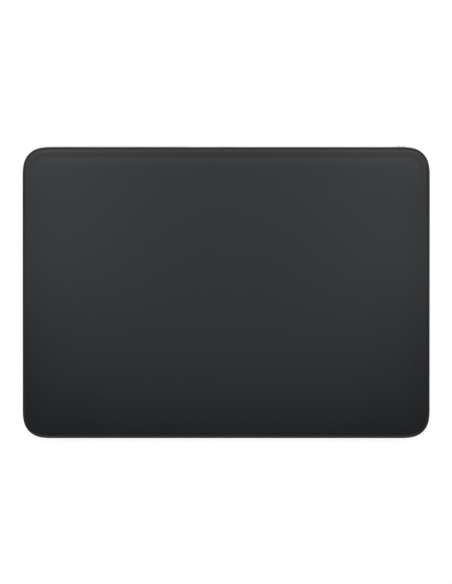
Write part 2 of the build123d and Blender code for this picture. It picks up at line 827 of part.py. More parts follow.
lever_slot_width = lever_width + switch_travel + 2 * slide_gap
with BuildPart() as switch_module_body:
    with BuildSketch(rear_face.offset(-bracket_back)):
        with Locations((switch_x, rear_detail_depth)):
            Rectangle(module_width, module_height)
    extrude(amount=-module_thickness)
    with BuildSketch(rear_face.offset(-bracket_back)):
        with Locations((switch_x, rear_detail_depth)):
            Rectangle(lever_slot_width, lever_height + 2 * slide_gap)
    extrude(amount=-(lever_sink + slide_gap), mode=Mode.SUBTRACT)

switch_ears = [(switch_x - switch_ear_x, switch_ear_y), (switch_x + switch_ear_x, switch_ear_y)]
with BuildPart() as switch_bracket:
    with BuildSketch(rear_face.offset(-bracket_front)):
        with Locations((switch_x, rear_detail_depth - module_height / 2 - module_margin)):
            Rectangle(switch_bracket_width, rear_height, align=(Align.CENTER, Align.MIN))
        with Locations((switch_x, rear_detail_depth)):
            Rectangle(lever_slot_width, lever_height + 2 * slide_gap, mode=Mode.SUBTRACT)
    extrude(amount=-bracket_plate)
    split(bisect_by=Plane.XY.offset(floor_top), keep=Keep.TOP)
    with BuildSketch(Plane.XY.offset(floor_top)):
        with Locations(*switch_ears):
            Rectangle(bracket_ear, switch_ear_length)
    extrude(amount=bracket_plate)
    with BuildSketch(Plane.XY.offset(floor_top)):
        with Locations(
            (switch_x - switch_ear_x, switch_screw_y), (switch_x + switch_ear_x, switch_screw_y)
        ):
            Circle(screw_hole_radius)
    extrude(amount=bracket_plate, mode=Mode.SUBTRACT)

switch_tail = under_sockets["switch"]
switch_middle = wall_point(switch_x, rear_detail_depth, module_back)
switch_drop_y = switch_middle.Y - switch_flex_out
switch_turn_y = foot_y + foot_radius + foot_ring_gap + switch_flex_gap + switch_flex_width / 2
with BuildPart() as switch_flex:
    folded_strip(
        [
            (switch_middle.Y, switch_middle.Z),
            (switch_drop_y, switch_middle.Z),
            (switch_drop_y, strip_low),
            (switch_drop_y - switch_flex_width / 2, strip_low),
        ],
        switch_x,
        switch_flex_width,
        flex_fold,
    )
    flat_strip(
        [
            (switch_x, switch_drop_y - flex_fold),
            (switch_x, switch_turn_y),
            (switch_tail[0], switch_turn_y),
            switch_tail,
        ],
        switch_flex_width,
    )
    socket_tail(switch_tail)

# Battery
with BuildPart() as battery_cell:
    with BuildSketch(Plane.XY.offset(battery_bottom)):
        with Locations((battery_x, battery_y)):
            RectangleRounded(battery_width, battery_length, battery_round)
    extrude(amount=battery_thickness)
    fillet(battery_cell.faces().sort_by(Axis.Z)[-1].edges(), battery_round)

with BuildPart() as battery_tape:
    with BuildSketch(Plane.XY.offset(floor_top)):
        with Locations((battery_x, battery_y)):
            Rectangle(battery_width - 2 * tape_margin, battery_length - 2 * tape_margin)
    extrude(amount=tape_thickness)

with BuildPart() as battery_protection_board:
    with BuildSketch(Plane.XY.offset(floor_top + flex_thickness)):
        with Locations((battery_right, board_y)):
            Rectangle(protection_width, protection_length, align=(Align.MIN, Align.CENTER))
    extrude(amount=protection_thickness)

with BuildPart() as battery_flex:
    straight_strip((battery_right + fit_gap, board_y), under_sockets["battery"], flex_width)
    socket_tail(under_sockets["battery"])

# Main board
with BuildPart() as main_board:
    with BuildSketch(Plane.XY.offset(board_bottom)):
        with Locations((board_x, board_y)):
            RectangleRounded(board_width, board_length, board_thickness)
        with Locations(*board_holes):
            Circle(screw_hole_radius, mode=Mode.SUBTRACT)
    extrude(amount=board_thickness)

with BuildPart() as board_sockets:
    with BuildSketch(Plane.XY.offset(board_bottom)):
        with Locations(*under_sockets.values()):
            Rectangle(socket_length, socket_width)
    extrude(amount=-socket_height)
    with BuildSketch(Plane.XY.offset(board_top)):
        with Locations((touch_socket_x, socket_front_y)):
            Rectangle(touch_socket_length, socket_width)
    extrude(amount=touch_socket_height)
    with BuildSketch(Plane.XY.offset(board_top)):
        with Locations(coax_jack):
            Circle(coax_jack_radius)
    extrude(amount=coax_jack_height)

board_shield_width = board_width - 2 * board_shield_margin
board_shield_length = board_length - 2 * (socket_inset + socket_width / 2 + board_shield_gap)
with BuildPart() as main_board_shield:
    with BuildSketch(Plane.XY.offset(board_top)):
        with Locations((board_x, board_y)):
            Rectangle(board_shield_width, board_shield_length)
    extrude(amount=board_shield_height)
    with BuildSketch(Plane.XY.offset(board_top)):
        with Locations((board_x, board_y)):
            Rectangle(board_shield_width - 2 * shield_wall, board_shield_length - 2 * shield_wall)
    extrude(amount=board_shield_height - shield_wall, mode=Mode.SUBTRACT)

with BuildPart() as main_board_chips:
    with BuildSketch(Plane.XY.offset(board_top)):
        with Locations((board_x, board_y)):
            with GridLocations(board_chip_size + board_chip_gap, 0, 2, 1):
                Rectangle(board_chip_size, board_chip_size)
    extrude(amount=board_chip_height)

with BuildPart() as board_screws:
    screws_at(board_holes, board_top, board_thickness)

with BuildPart() as bracket_screws:
    screws_at(floor_screws, ear_top, bracket_plate)

# Haptic motor: a heavy mass with magnets shakes from side to side over two coils
with BuildPart() as haptic_base:
    with BuildSketch(Plane.XY.offset(floor_top)):
        with Locations((0, haptic_y)):
            RectangleRounded(haptic_width, haptic_length, haptic_ear_inset)
        with Locations((0, haptic_y)):
            with GridLocations(2 * haptic_ear_x, 2 * haptic_ear_y, 2, 2):
                Circle(screw_hole_radius, mode=Mode.SUBTRACT)
    extrude(amount=bracket_plate)

with BuildPart() as haptic_cover:
    with BuildSketch(Plane.XY.offset(ear_top)):
        with Locations((0, haptic_y)):
            Rectangle(haptic_cover_width, haptic_cover_length)
    extrude(amount=haptic_cover_height)
    with BuildSketch(Plane.XY.offset(ear_top)):
        with Locations((0, haptic_y)):
            Rectangle(
                haptic_cover_width - 2 * haptic_cover_wall,
                haptic_cover_length - 2 * haptic_cover_wall,
            )
    extrude(amount=haptic_cover_height - haptic_cover_wall, mode=Mode.SUBTRACT)

with BuildPart() as haptic_coils:
    with BuildSketch(Plane.XY.offset(ear_top)):
        with Locations((0, haptic_y)):
            with GridLocations(mass_width / 2, 0, 2, 1):
                RectangleRounded(
                    mass_width / 2 - coil_gap, mass_length - 2 * coil_margin, coil_hole_width / 2
                )
                RectangleRounded(
                    coil_hole_width, coil_hole_length, coil_hole_width / 4, mode=Mode.SUBTRACT
                )
    extrude(amount=coil_thickness)

mass_bottom = ear_top + coil_thickness + mass_gap
mass_thickness = ear_top + haptic_cover_height - haptic_cover_wall - mass_gap - mass_bottom
magnet_pitch = mass_width / 4
magnet_width = magnet_pitch - magnet_gap
magnet_length = mass_length - 2 * magnet_margin
magnet_thickness = mass_thickness - magnet_backing
with BuildPart() as haptic_mass:
    with BuildSketch(Plane.XY.offset(mass_bottom)):
        with Locations((0, haptic_y)):
            Rectangle(mass_width, mass_length)
    extrude(amount=mass_thickness)
    with BuildSketch(Plane.XY.offset(mass_bottom)):
        with Locations((0, haptic_y)):
            with GridLocations(magnet_pitch, 0, 4, 1):
                Rectangle(magnet_width + 2 * fit_gap, magnet_length + 2 * fit_gap)
    extrude(amount=magnet_thickness, mode=Mode.SUBTRACT)

with BuildPart() as haptic_magnets:
    with BuildSketch(Plane.XY.offset(mass_bottom)):
        with Locations((0, haptic_y)):
            with GridLocations(magnet_pitch, 0, 4, 1):
                Rectangle(magnet_width, magnet_length)
    extrude(amount=magnet_thickness)

haptic_springs = {}
spring_outer = haptic_cover_width / 2 - haptic_cover_wall
spring_middle = (mass_width / 2 + spring_outer) / 2
for side_name, side in (("left", -1), ("right", 1)):
    with BuildPart() as haptic_spring:
        with BuildSketch(Plane.XY.offset(mass_bottom + (mass_thickness - spring_height) / 2)):
            with BuildLine():
                FilletPolyline(
                    (side * mass_width / 2, haptic_y - spring_swing),
                    (side * spring_middle, haptic_y - spring_swing),
                    (side * spring_middle, haptic_y + spring_swing),
                    (side * spring_outer, haptic_y + spring_swing),
                    radius=spring_bend,
                )
            trace(line_width=spring_thickness)
        extrude(amount=spring_height)
    haptic_springs[side_name] = haptic_spring

haptic_tail = under_sockets["haptic"]
with BuildPart() as haptic_flex:
    flat_strip(
        [(haptic_width / 2, haptic_y), (haptic_tail[0], haptic_y), haptic_tail], flex_width
    )
    socket_tail(haptic_tail)

# Every piece, labelled and written to its own file
pieces = {
    "touch_glass": touch_glass,
    "glass_bond_gasket": glass_bond_gasket,
    "sensor_bond_film": sensor_bond_film,
    "touch_sensor_board": touch_sensor_board,
    "touch_board_chips": touch_board_chips,
    "touch_board_shield": touch_board_shield,
    "touch_flex_socket": touch_flex_socket,
    "touch_flex": touch_flex,
    "housing": housing,
    "antenna_window": antenna_window,
    "antenna_board": antenna_board,
    "antenna_coax": antenna_coax,
    "flexure_screws": flexure_screws,
    "strain_gauges": strain_gauges,
    "port_trim_ring": port_trim_ring,
    "port_shell": port_shell,
    "port_insulator": port_insulator,
    "port_contacts": port_contacts,
    "port_bracket": port_bracket,
    "port_flex": port_flex,
    "switch_knob": switch_knob,
    "switch_carrier": switch_carrier,
    "on_flag": on_flag,
    "switch_module_lever": switch_module_lever,
    "switch_module_body": switch_module_body,
    "switch_bracket": switch_bracket,
    "switch_flex": switch_flex,
    "battery_cell": battery_cell,
    "battery_tape": battery_tape,
    "battery_protection_board": battery_protection_board,
    "battery_flex": battery_flex,
    "main_board": main_board,
    "board_sockets": board_sockets,
    "main_board_shield": main_board_shield,
    "main_board_chips": main_board_chips,
    "board_screws": board_screws,
    "bracket_screws": bracket_screws,
    "haptic_base": haptic_base,
    "haptic_cover": haptic_cover,
    "haptic_coils": haptic_coils,
    "haptic_mass": haptic_mass,
    "haptic_magnets": haptic_magnets,
    "haptic_flex": haptic_flex,
}
for place in foot_places:
    pieces["foot_pad_" + place] = foot_pads[place]
    pieces["foot_plate_" + place] = foot_plates[place]
    pieces["foot_flexure_" + place] = foot_flexures[place]
for side_name in ("left", "right"):
    pieces["force_flex_" + side_name] = force_flexes[side_name]
    pieces["haptic_spring_" + side_name] = haptic_springs[side_name]

for name, piece in pieces.items():
    piece.part.label = name
    export_step(piece.part, f"parts/{name}.step")
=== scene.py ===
import json
import math

import bmesh
import bpy
from mathutils import Matrix, Vector


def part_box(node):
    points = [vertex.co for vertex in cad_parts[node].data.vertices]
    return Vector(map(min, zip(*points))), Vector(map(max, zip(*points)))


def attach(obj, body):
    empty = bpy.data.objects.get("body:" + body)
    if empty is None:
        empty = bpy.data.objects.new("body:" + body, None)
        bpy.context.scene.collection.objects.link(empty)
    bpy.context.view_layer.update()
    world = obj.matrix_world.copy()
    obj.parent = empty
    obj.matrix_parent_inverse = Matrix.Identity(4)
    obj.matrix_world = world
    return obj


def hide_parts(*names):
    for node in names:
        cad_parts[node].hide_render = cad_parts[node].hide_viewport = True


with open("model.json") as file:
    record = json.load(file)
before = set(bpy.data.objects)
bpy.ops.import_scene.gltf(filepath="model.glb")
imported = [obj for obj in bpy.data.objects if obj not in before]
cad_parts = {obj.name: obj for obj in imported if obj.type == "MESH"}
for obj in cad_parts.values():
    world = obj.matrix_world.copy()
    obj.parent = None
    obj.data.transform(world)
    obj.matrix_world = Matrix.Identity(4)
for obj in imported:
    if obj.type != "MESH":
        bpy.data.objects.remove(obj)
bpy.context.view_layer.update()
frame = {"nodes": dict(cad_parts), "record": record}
scene = bpy.context.scene
print("frame loaded:", len(frame["nodes"]), "nodes")


# The pad's outline and wedge, in metres, as the CAD model has them
padShape = {
    "width": 0.160,
    "length": 0.1145,          # along the slope
    "frontHeight": 0.0049,
    "rearHeight": 0.0109,
    "footGap": 0.0008,
    "bottomRound": 0.0012,
    "shoulderRadius": 0.018,
    "shoulderTurn": 12,        # degrees
    "cornerRadius": 0.0081,
}
tilt = math.asin((padShape["rearHeight"] - padShape["frontHeight"]) / padShape["length"])
wallHeight = padShape["rearHeight"] - padShape["footGap"] - padShape["bottomRound"]
deckMiddle = Vector((
    0,
    -wallHeight * math.tan(tilt) / 2,
    (padShape["frontHeight"] + padShape["rearHeight"]) / 2,
))
deckPlace = Matrix.Translation(deckMiddle) @ Matrix.Rotation(tilt, 4, "X")


# Camera: straight above, from so far away that nothing tapers
cameraLook = {
    "lens": 940,               # millimetres
    "sensor": 36,
    "frameHeight": 0.22957,    # metres of desk from the top of the picture to the bottom
    "offset": (-0.00008, 0.00009),
    "clipEnd": 30,
}


def addCamera(look):
    data = bpy.data.cameras.new("camera")
    data.lens = look["lens"]
    data.sensor_width = look["sensor"]
    data.clip_end = look["clipEnd"]
    camera = bpy.data.objects.new("camera", data)
    scene.collection.objects.link(camera)
    distance = look["frameHeight"] * look["lens"] / look["sensor"]
    camera.location = (look["offset"][0], look["offset"][1], deckMiddle.z + distance)
    scene.camera = camera


addCamera(cameraLook)
print("camera placed")


# Materials. A finish is a dictionary, and every pattern reads Object coordinates
stripeUnit = 0.314             # how far a Wave texture's stripes lie apart at scale 1


def newMaterial(name):
    material = bpy.data.materials.new(name)
    material.use_nodes = True
    tree = material.node_tree
    coordinates = tree.nodes.new("ShaderNodeTexCoord")
    return material, tree, coordinates.outputs["Object"], tree.nodes["Principled BSDF"]


def stretched(tree, coordinates, stretch=(1, 1, 1), turn=(0, 0, 0)):
    mapping = tree.nodes.new("ShaderNodeMapping")
    mapping.inputs["Scale"].default_value = stretch
    mapping.inputs["Rotation"].default_value = [math.radians(angle) for angle in turn]
    tree.links.new(coordinates, mapping.inputs["Vector"])
    return mapping.outputs["Vector"]


def noise(tree, vector, size, detail=2.0, roughness=0.5):
    # size is the width of one blotch, in metres
    texture = tree.nodes.new("ShaderNodeTexNoise")
    texture.inputs["Scale"].default_value = 1 / size
    texture.inputs["Detail"].default_value = detail
    texture.inputs["Roughness"].default_value = roughness
    tree.links.new(vector, texture.inputs["Vector"])
    return texture.outputs["Fac"]


def between(tree, factor, low, high, fromLow=0.3, fromHigh=0.7):
    # a number from low to high as the pattern goes from dark to light
    spread = tree.nodes.new("ShaderNodeMapRange")
    spread.inputs["From Min"].default_value = fromLow
    spread.inputs["From Max"].default_value = fromHigh
    spread.inputs["To Min"].default_value = low
    spread.inputs["To Max"].default_value = high
    tree.links.new(factor, spread.inputs["Value"])
    return spread.outputs["Result"]


def bands(tree, vector, width, direction="X"):
    # straight stripes, one and its gap in each width
    wave = tree.nodes.new("ShaderNodeTexWave")
    wave.inputs["Scale"].default_value = stripeUnit / width
    wave.bands_direction = direction
    tree.links.new(vector, wave.inputs["Vector"])
    return wave.outputs["Fac"]


def blended(tree, factor, first, second):
    # two colours, or colour sockets, mixed by a pattern
    mix = tree.nodes.new("ShaderNodeMix")
    mix.data_type = "RGBA"
    tree.links.new(factor, mix.inputs["Factor"])
    for socket, colour in ((mix.inputs[6], first), (mix.inputs[7], second)):
        if isinstance(colour, tuple):
            socket.default_value = (*colour, 1)
        else:
            tree.links.new(colour, socket)
    return mix.outputs[2]


def roughened(tree, shader, pattern, span):
    low, high = span
    tree.links.new(between(tree, pattern, low, high), shader.inputs["Roughness"])


def raised(tree, shader, height, depth):
    # depth is the height of the relief, in metres
    bump = tree.nodes.new("ShaderNodeBump")
    bump.inputs["Strength"].default_value = 1
    bump.inputs["Distance"].default_value = depth
    tree.links.new(height, bump.inputs["Height"])
    tree.links.new(bump.outputs["Normal"], shader.inputs["Normal"])


def grainMaterial(name, finish):
    # colour, roughness and relief that all vary with one fine grain and one broad patch
    material, tree, coordinates, shader = newMaterial(name)
    vector = stretched(tree, coordinates, finish.get("stretch", (1, 1, 1)))
    grain = noise(tree, vector, finish["grain"], 3)
    patch = noise(tree, coordinates, finish["patch"], 2)
    colour = blended(tree, between(tree, patch, 0, 1), finish["colour"], finish["tint"])
    tree.links.new(colour, shader.inputs["Base Color"])
    roughened(tree, shader, grain, finish["roughness"])
    shader.inputs["Metallic"].default_value = finish.get("metallic", 0)
    raised(tree, shader, grain, finish["relief"])
    return material


finishes = {
    "body_aluminium": {
        "colour": (0.58, 0.58, 0.59), "tint": (0.55, 0.553, 0.563), "metallic": 1,
        "roughness": (0.33, 0.45), "grain": 0.00013, "patch": 0.012, "relief": 0.000012,
    },
    "window_plastic": {
        "colour": (0.37, 0.37, 0.38), "tint": (0.34, 0.345, 0.355),
        "roughness": (0.42, 0.52), "grain": 0.00012, "patch": 0.006, "relief": 0.0000025,
    },
    "adhesive": {
        "colour": (0.030, 0.030, 0.031), "tint": (0.045, 0.044, 0.043),
        "roughness": (0.55, 0.75), "grain": 0.0004, "patch": 0.004, "relief": 0.000008,
    },
    "chip": {
        "colour": (0.028, 0.028, 0.031), "tint": (0.036, 0.036, 0.039),
        "roughness": (0.48, 0.64), "grain": 0.00006, "patch": 0.0015, "relief": 0.000002,
    },
    "socket_plastic": {
        "colour": (0.035, 0.035, 0.040), "tint": (0.048, 0.047, 0.050),
        "roughness": (0.35, 0.50), "grain": 0.00015, "patch": 0.002, "relief": 0.000002,
    },
    "shield_steel": {
        "colour": (0.52, 0.515, 0.50), "tint": (0.45, 0.45, 0.455), "metallic": 1,
        "roughness": (0.26, 0.42), "grain": 0.00010, "patch": 0.004, "relief": 0.000004,
        "stretch": (1, 0.06, 1),
    },
    "coax_jacket": {
        "colour": (0.045, 0.045, 0.047), "tint": (0.060, 0.060, 0.062),
        "roughness": (0.35, 0.48), "grain": 0.0003, "patch": 0.003, "relief": 0.000003,
    },
    "screw_steel": {
        "colour": (0.27, 0.27, 0.285), "tint": (0.20, 0.20, 0.21), "metallic": 1,
        "roughness": (0.25, 0.40), "grain": 0.00008, "patch": 0.0008, "relief": 0.0000015,
    },
    "contact_gold": {
        "colour": (0.85, 0.64, 0.28), "tint": (0.80, 0.57, 0.22), "metallic": 1,
        "roughness": (0.16, 0.26), "grain": 0.00008, "patch": 0.0006, "relief": 0.000001,
        "stretch": (1, 0.1, 1),
    },
    "flag_green": {
        "colour": (0.07, 0.56, 0.16), "tint": (0.06, 0.50, 0.14),
        "roughness": (0.32, 0.42), "grain": 0.0002, "patch": 0.001, "relief": 0.000001,
    },
    "mass_metal": {
        "colour": (0.42, 0.42, 0.43), "tint": (0.34, 0.34, 0.35), "metallic": 1,
        "roughness": (0.36, 0.52), "grain": 0.00010, "patch": 0.0015, "relief": 0.000003,
    },
    "magnet_nickel": {
        "colour": (0.72, 0.71, 0.69), "tint": (0.66, 0.65, 0.63), "metallic": 1,
        "roughness": (0.12, 0.22), "grain": 0.0004, "patch": 0.003, "relief": 0.000002,
    },
    "spring_steel": {
        "colour": (0.60, 0.60, 0.61), "tint": (0.52, 0.53, 0.55), "metallic": 1,
        "roughness": (0.22, 0.36), "grain": 0.00010, "patch": 0.003, "relief": 0.000001,
        "stretch": (0.08, 1, 1),
    },
    "foot_rubber": {
        "colour": (0.44, 0.44, 0.45), "tint": (0.39, 0.39, 0.40),
        "roughness": (0.62, 0.80), "grain": 0.00014, "patch": 0.0022, "relief": 0.000006,
    },
    # and four that no slot of the record names
    # the knob's metal is much darker than the body's: painted shade that stands in for the shadows in
    # its grooves
    "shade_darkened_knob_metal": {
        "colour": (0.20, 0.20, 0.205), "tint": (0.18, 0.18, 0.185), "metallic": 1,
        "roughness": (0.33, 0.45), "grain": 0.00013, "patch": 0.002, "relief": 0.000006,
    },
    "ceramic": {
        "colour": (0.30, 0.21, 0.13), "tint": (0.22, 0.15, 0.095),
        "roughness": (0.40, 0.55), "grain": 0.00008, "patch": 0.0009, "relief": 0.000002,
    },
    "tinned_copper": {
        "colour": (0.62, 0.62, 0.60), "tint": (0.52, 0.52, 0.51), "metallic": 1,
        "roughness": (0.24, 0.40), "grain": 0.00007, "patch": 0.0007, "relief": 0.000004,
    },
    # painted shade: the near-black of the inside of a hole, for discs that stand in for vent holes
    "painted_hole_shade": {
        "colour": (0.010, 0.010, 0.011), "tint": (0.014, 0.014, 0.015),
        "roughness": (0.70, 0.90), "grain": 0.0002, "patch": 0.001, "relief": 0.000001,
    },
}


glassFinish = {
    "colour": (0.0034, 0.0040, 0.0052),
    "gloss": (0.93, 0.965, 1.0),   # a faint cool cast in the reflections
    "roughness": (0.325, 0.365),
    "etch": 0.00011,           # one pit of the etched surface
    "etchContrast": 0.6,
    "etchLighter": 1.06,       # how much paler the pits are
    "etchRelief": 0.0000007,
    "haze": 0.030,             # broad, faint unevenness
    "hazeRoughness": 0.008,    # what it adds or takes
    "ior": 1.5,
}


# How much the glass shines at each distance from its edge, in millimetres, as shares of its plain
# shine. This is painted reflection: the shine drops at the outermost rim, which paints a dark edge line,
# and painted highlights lie where the round starts, at the front edge and in a band along the rear
rimPaintedShine = {
    "cornerRadius": 0.00884,   # metres: one plain radius that follows the eased corner
    "reach": 0.013,            # metres that the tables span
    "side": ((0.2, 0.20), (0.6, 0.80), (1.4, 1.08), (2.4, 0.99), (5.0, 0.97), (9.0, 1.02)),
    "rear": (
        (0.2, 0.80), (1.0, 0.93), (1.6, 1.10), (2.7, 0.91), (4.9, 1.10), (8.5, 1.00), (12, 0.97),
    ),
    "front": ((0.2, 0.30), (0.7, 1.85), (1.3, 1.25), (2.1, 0.96), (4.0, 0.97), (7.0, 1.06)),
    "rearSpan": (0.0400, 0.0500),   # metres behind the middle, from the side's shine to the rear's
    "frontSpan": (-0.0495, -0.0555),
    "plain": 0.5,              # the shader's specular level where a share is 1
}


def vectorStep(tree, operation, first, second=(0, 0, 0)):
    step = tree.nodes.new("ShaderNodeVectorMath")
    step.operation = operation
    tree.links.new(first, step.inputs[0])
    step.inputs[1].default_value = second
    return step.outputs["Value" if operation == "LENGTH" else "Vector"]


def numberStep(tree, operation, first, second):
    # either value may be a number or a socket
    step = tree.nodes.new("ShaderNodeMath")
    step.operation = operation
    for socket, value in zip(step.inputs, (first, second)):
        if isinstance(value, (int, float)):
            socket.default_value = value
        else:
            tree.links.new(value, socket)
    return step.outputs["Value"]


def mixedNumber(tree, factor, first, second):
    mix = tree.nodes.new("ShaderNodeMix")
    tree.links.new(factor, mix.inputs["Factor"])
    tree.links.new(first, mix.inputs[2])
    tree.links.new(second, mix.inputs[3])
    return mix.outputs[0]


def glassPlace(tree, coordinates, radius):
    # how far a point lies from the glass's edge, and how far behind its middle
    middled = vectorStep(tree, "SUBTRACT", coordinates, tuple(deckMiddle))
    halfWidth = padShape["width"] / 2
    halfLength = padShape["length"] / 2 * math.cos(tilt)
    past = vectorStep(
        tree, "SUBTRACT", vectorStep(tree, "ABSOLUTE", middled),
        (halfWidth - radius, halfLength - radius, 1),
    )
    corner = vectorStep(tree, "LENGTH", vectorStep(tree, "MAXIMUM", past))
    parts = tree.nodes.new("ShaderNodeSeparateXYZ")
    tree.links.new(past, parts.inputs["Vector"])
    nearest = numberStep(tree, "MAXIMUM", parts.outputs["X"], parts.outputs["Y"])
    inside = numberStep(tree, "MINIMUM", nearest, 0)
    distance = numberStep(tree, "SUBTRACT", numberStep(tree, "SUBTRACT", radius, corner), inside)
    whole = tree.nodes.new("ShaderNodeSeparateXYZ")
    tree.links.new(middled, whole.inputs["Vector"])
    return distance, whole.outputs["Y"]


def paintedShineBand(tree, distance, look, side):
    ramp = tree.nodes.new("ShaderNodeValToRGB")
    ramp.color_ramp.interpolation = "EASE"
    tree.links.new(between(tree, distance, 0, 1, 0, look["reach"]), ramp.inputs["Fac"])
    stops = ramp.color_ramp.elements
    while len(stops) < len(look[side]):
        stops.new(1)
    for stop, (place, share) in zip(stops, look[side]):
        stop.position = place / 1000 / look["reach"]   # from millimetres to a share of the reach
        stop.color = [share * look["plain"]] * 3 + [1]
    return ramp.outputs["Color"]


# painted reflection: a specular level that is low at the rim and high in bands near the edge and along
# the rear
def rimPaintedShineLevel(tree, coordinates, look):
    distance, behind = glassPlace(tree, coordinates, look["cornerRadius"])
    level = paintedShineBand(tree, distance, look, "side")
    for side in ("rear", "front"):
        share = between(tree, behind, 0, 1, *look[side + "Span"])
        level = mixedNumber(tree, share, level, paintedShineBand(tree, distance, look, side))
    return level


def glassMaterial(finish):
    # matt black glass: tiny etched pits over black, and a faint broad haze in the gloss
    material, tree, coordinates, shader = newMaterial("glass_top")
    etch = noise(tree, coordinates, finish["etch"], 2, finish["etchContrast"])
    haze = noise(tree, coordinates, finish["haze"], 2)
    low, high = finish["roughness"]
    fine = between(tree, etch, low, high)
    broad = between(tree, haze, -finish["hazeRoughness"], finish["hazeRoughness"])
    tree.links.new(numberStep(tree, "ADD", fine, broad), shader.inputs["Roughness"])
    lighter = tuple(share * finish["etchLighter"] for share in finish["colour"])
    colour = blended(tree, between(tree, etch, 0, 1), finish["colour"], lighter)
    tree.links.new(colour, shader.inputs["Base Color"])
    shader.inputs["IOR"].default_value = finish["ior"]
    shader.inputs["Specular Tint"].default_value = (*finish["gloss"], 1)
    # painted highlights and a painted dark rim line, through the specular level
    tree.links.new(rimPaintedShineLevel(tree, coordinates, rimPaintedShine), shader.inputs["Specular IOR Level"])
    raised(tree, shader, etch, finish["etchRelief"])
    return material


boardFinish = {
    "mask": (0.010, 0.050, 0.030),
    "trace": (0.022, 0.095, 0.052),
    "pad": (0.78, 0.60, 0.30),
    "area": 0.006,             # how far the tracks run one way before they turn
    "areaEdge": (0.49, 0.51),
    "traceWidth": 0.0009,      # one track and the gap beside it
    "traceEdge": (0.45, 0.6),
    "padSpacing": 0.0016,
    "padJitter": 0.15,
    "padEdge": (0.20, 0.22),
    "padArea": (0.58, 0.60),   # pads lie where the area's noise is above this
    "roughness": (0.30, 0.42),
    "weave": 0.00035,
    "relief": 0.000006,
}


def boardMaterial(finish):
    # green solder mask over copper tracks, with gilt pads where noise gathers them
    material, tree, coordinates, shader = newMaterial("circuit_board")
    area = noise(tree, coordinates, finish["area"], 1)
    tracks = []
    for turn in (0, 90):
        turned = stretched(tree, coordinates, turn=(0, 0, turn))
        stripes = bands(tree, turned, finish["traceWidth"])
        tracks.append(between(tree, stripes, 0, 1, *finish["traceEdge"]))
    copper = mixedNumber(tree, between(tree, area, 0, 1, *finish["areaEdge"]), *tracks)
    cells = tree.nodes.new("ShaderNodeTexVoronoi")
    cells.inputs["Scale"].default_value = 1 / finish["padSpacing"]
    cells.inputs["Randomness"].default_value = finish["padJitter"]
    tree.links.new(coordinates, cells.inputs["Vector"])
    dots = between(tree, cells.outputs["Distance"], 1, 0, *finish["padEdge"])
    pads = numberStep(tree, "MULTIPLY", dots, between(tree, area, 0, 1, *finish["padArea"]))
    masked = blended(tree, copper, finish["mask"], finish["trace"])
    tree.links.new(blended(tree, pads, masked, finish["pad"]), shader.inputs["Base Color"])
    tree.links.new(pads, shader.inputs["Metallic"])
    roughened(tree, shader, noise(tree, coordinates, finish["weave"], 3), finish["roughness"])
    raised(tree, shader, copper, finish["relief"])
    return material


filmFinish = {
    "amber": (0.38, 0.165, 0.035),
    "copper": (0.47, 0.215, 0.065),
    "track": 0.0004,
    "trackEdge": (0.45, 0.65),
    "waviness": 0.0015,
    "roughness": (0.24, 0.34),
    "relief": 0.000004,
}


def filmMaterial(finish):
    # amber film with fine copper tracks inside
    material, tree, coordinates, shader = newMaterial("flexible_circuit")
    stripes = bands(tree, coordinates, finish["track"], "DIAGONAL")
    tracks = between(tree, stripes, 0, 1, *finish["trackEdge"])
    tree.links.new(blended(tree, tracks, finish["amber"], finish["copper"]), shader.inputs["Base Color"])
    roughened(tree, shader, noise(tree, coordinates, finish["waviness"], 2), finish["roughness"])
    raised(tree, shader, tracks, finish["relief"])
    return material


pouchFinish = {
    "colour": (0.060, 0.060, 0.064),
    "tint": (0.085, 0.085, 0.090),
    "metallic": 0.35,
    "crease": 0.005,
    "creaseContrast": 0.4,
    "relief": 0.00006,
    "fine": 0.0003,            # the laminate's own grain
    "roughness": (0.26, 0.40),
}


def pouchMaterial(finish):
    # satin black laminate, gently dimpled where it wraps the cell
    material, tree, coordinates, shader = newMaterial("battery_pouch")
    dimples = noise(tree, coordinates, finish["crease"], 4, finish["creaseContrast"])
    colour = blended(tree, between(tree, dimples, 0, 1), finish["colour"], finish["tint"])
    tree.links.new(colour, shader.inputs["Base Color"])
    roughened(tree, shader, noise(tree, coordinates, finish["fine"], 2), finish["roughness"])
    shader.inputs["Metallic"].default_value = finish["metallic"]
    raised(tree, shader, dimples, finish["relief"])
    return material


coilFinish = {
    "wire": (0.62, 0.26, 0.11),
    # painted shade: the darker copper colour laid in the grooves between turns
    "paintedGrooveShade": (0.34, 0.12, 0.045),
    "metallic": 0.8,
    "turn": 0.0003,            # one turn of enamelled wire
    "varnish": 0.0006,
    "roughness": (0.20, 0.34),
    "relief": 0.00004,
}


def coilMaterial(finish):
    # enamelled copper wire: ridges at the pitch of the winding, with painted shade in the grooves
    # between turns
    material, tree, coordinates, shader = newMaterial("coil_copper")
    ridges = bands(tree, coordinates, finish["turn"])
    tree.links.new(blended(tree, ridges, finish["paintedGrooveShade"], finish["wire"]), shader.inputs["Base Color"])
    roughened(tree, shader, noise(tree, coordinates, finish["varnish"], 2), finish["roughness"])
    shader.inputs["Metallic"].default_value = finish["metallic"]
    raised(tree, shader, ridges, finish["relief"])
    return material


materials = {name: grainMaterial(name, finish) for name, finish in finishes.items()}
materials["glass_top"] = glassMaterial(glassFinish)
materials["circuit_board"] = boardMaterial(boardFinish)
materials["flexible_circuit"] = filmMaterial(filmFinish)
materials["battery_pouch"] = pouchMaterial(pouchFinish)
materials["coil_copper"] = coilMaterial(coilFinish)


# the knob takes the darkened metal, whose colour carries painted shade
ownFinishes = {"switch_knob": "shade_darkened_knob_metal"}


def dressFrame():
    # every CAD node gets the finish that its slot in the record names, or one of its own
    for part in frame["record"]["subparts"]:
        data = frame["nodes"][part["node"]].data
        data.materials.clear()
        data.materials.append(materials[ownFinishes.get(part["node"], part["material_slot"])])


dressFrame()
print("materials made:", len(materials))


